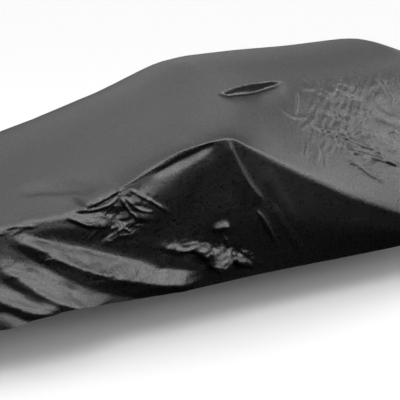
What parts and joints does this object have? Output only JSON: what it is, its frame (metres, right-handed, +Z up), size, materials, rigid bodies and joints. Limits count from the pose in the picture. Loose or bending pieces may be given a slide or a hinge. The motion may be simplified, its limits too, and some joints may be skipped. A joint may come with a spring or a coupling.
{
  "type": "car cover",
  "caption": "One-piece dark grey cloth cover draped over a saloon car, hollow and open below, with a taut tent over the near door mirror and slanting folds at the front wheel.",
  "frame": {"origin": "the point just under the middle of the roof cloth where the car holds the cover up", "axes": "+X along the car towards its rear, +Y towards the far side, +Z up; the near side with the main folds is -Y"},
  "size_m": [4.5501, 1.9825, 1.2],
  "materials": {
    "cover_cloth": "dark grey coated polyester cloth with a soft sheen"
  },
  "bodies": {
    "root": {"cover_cloth": "cover_cloth"}
  },
  "joints": []
}
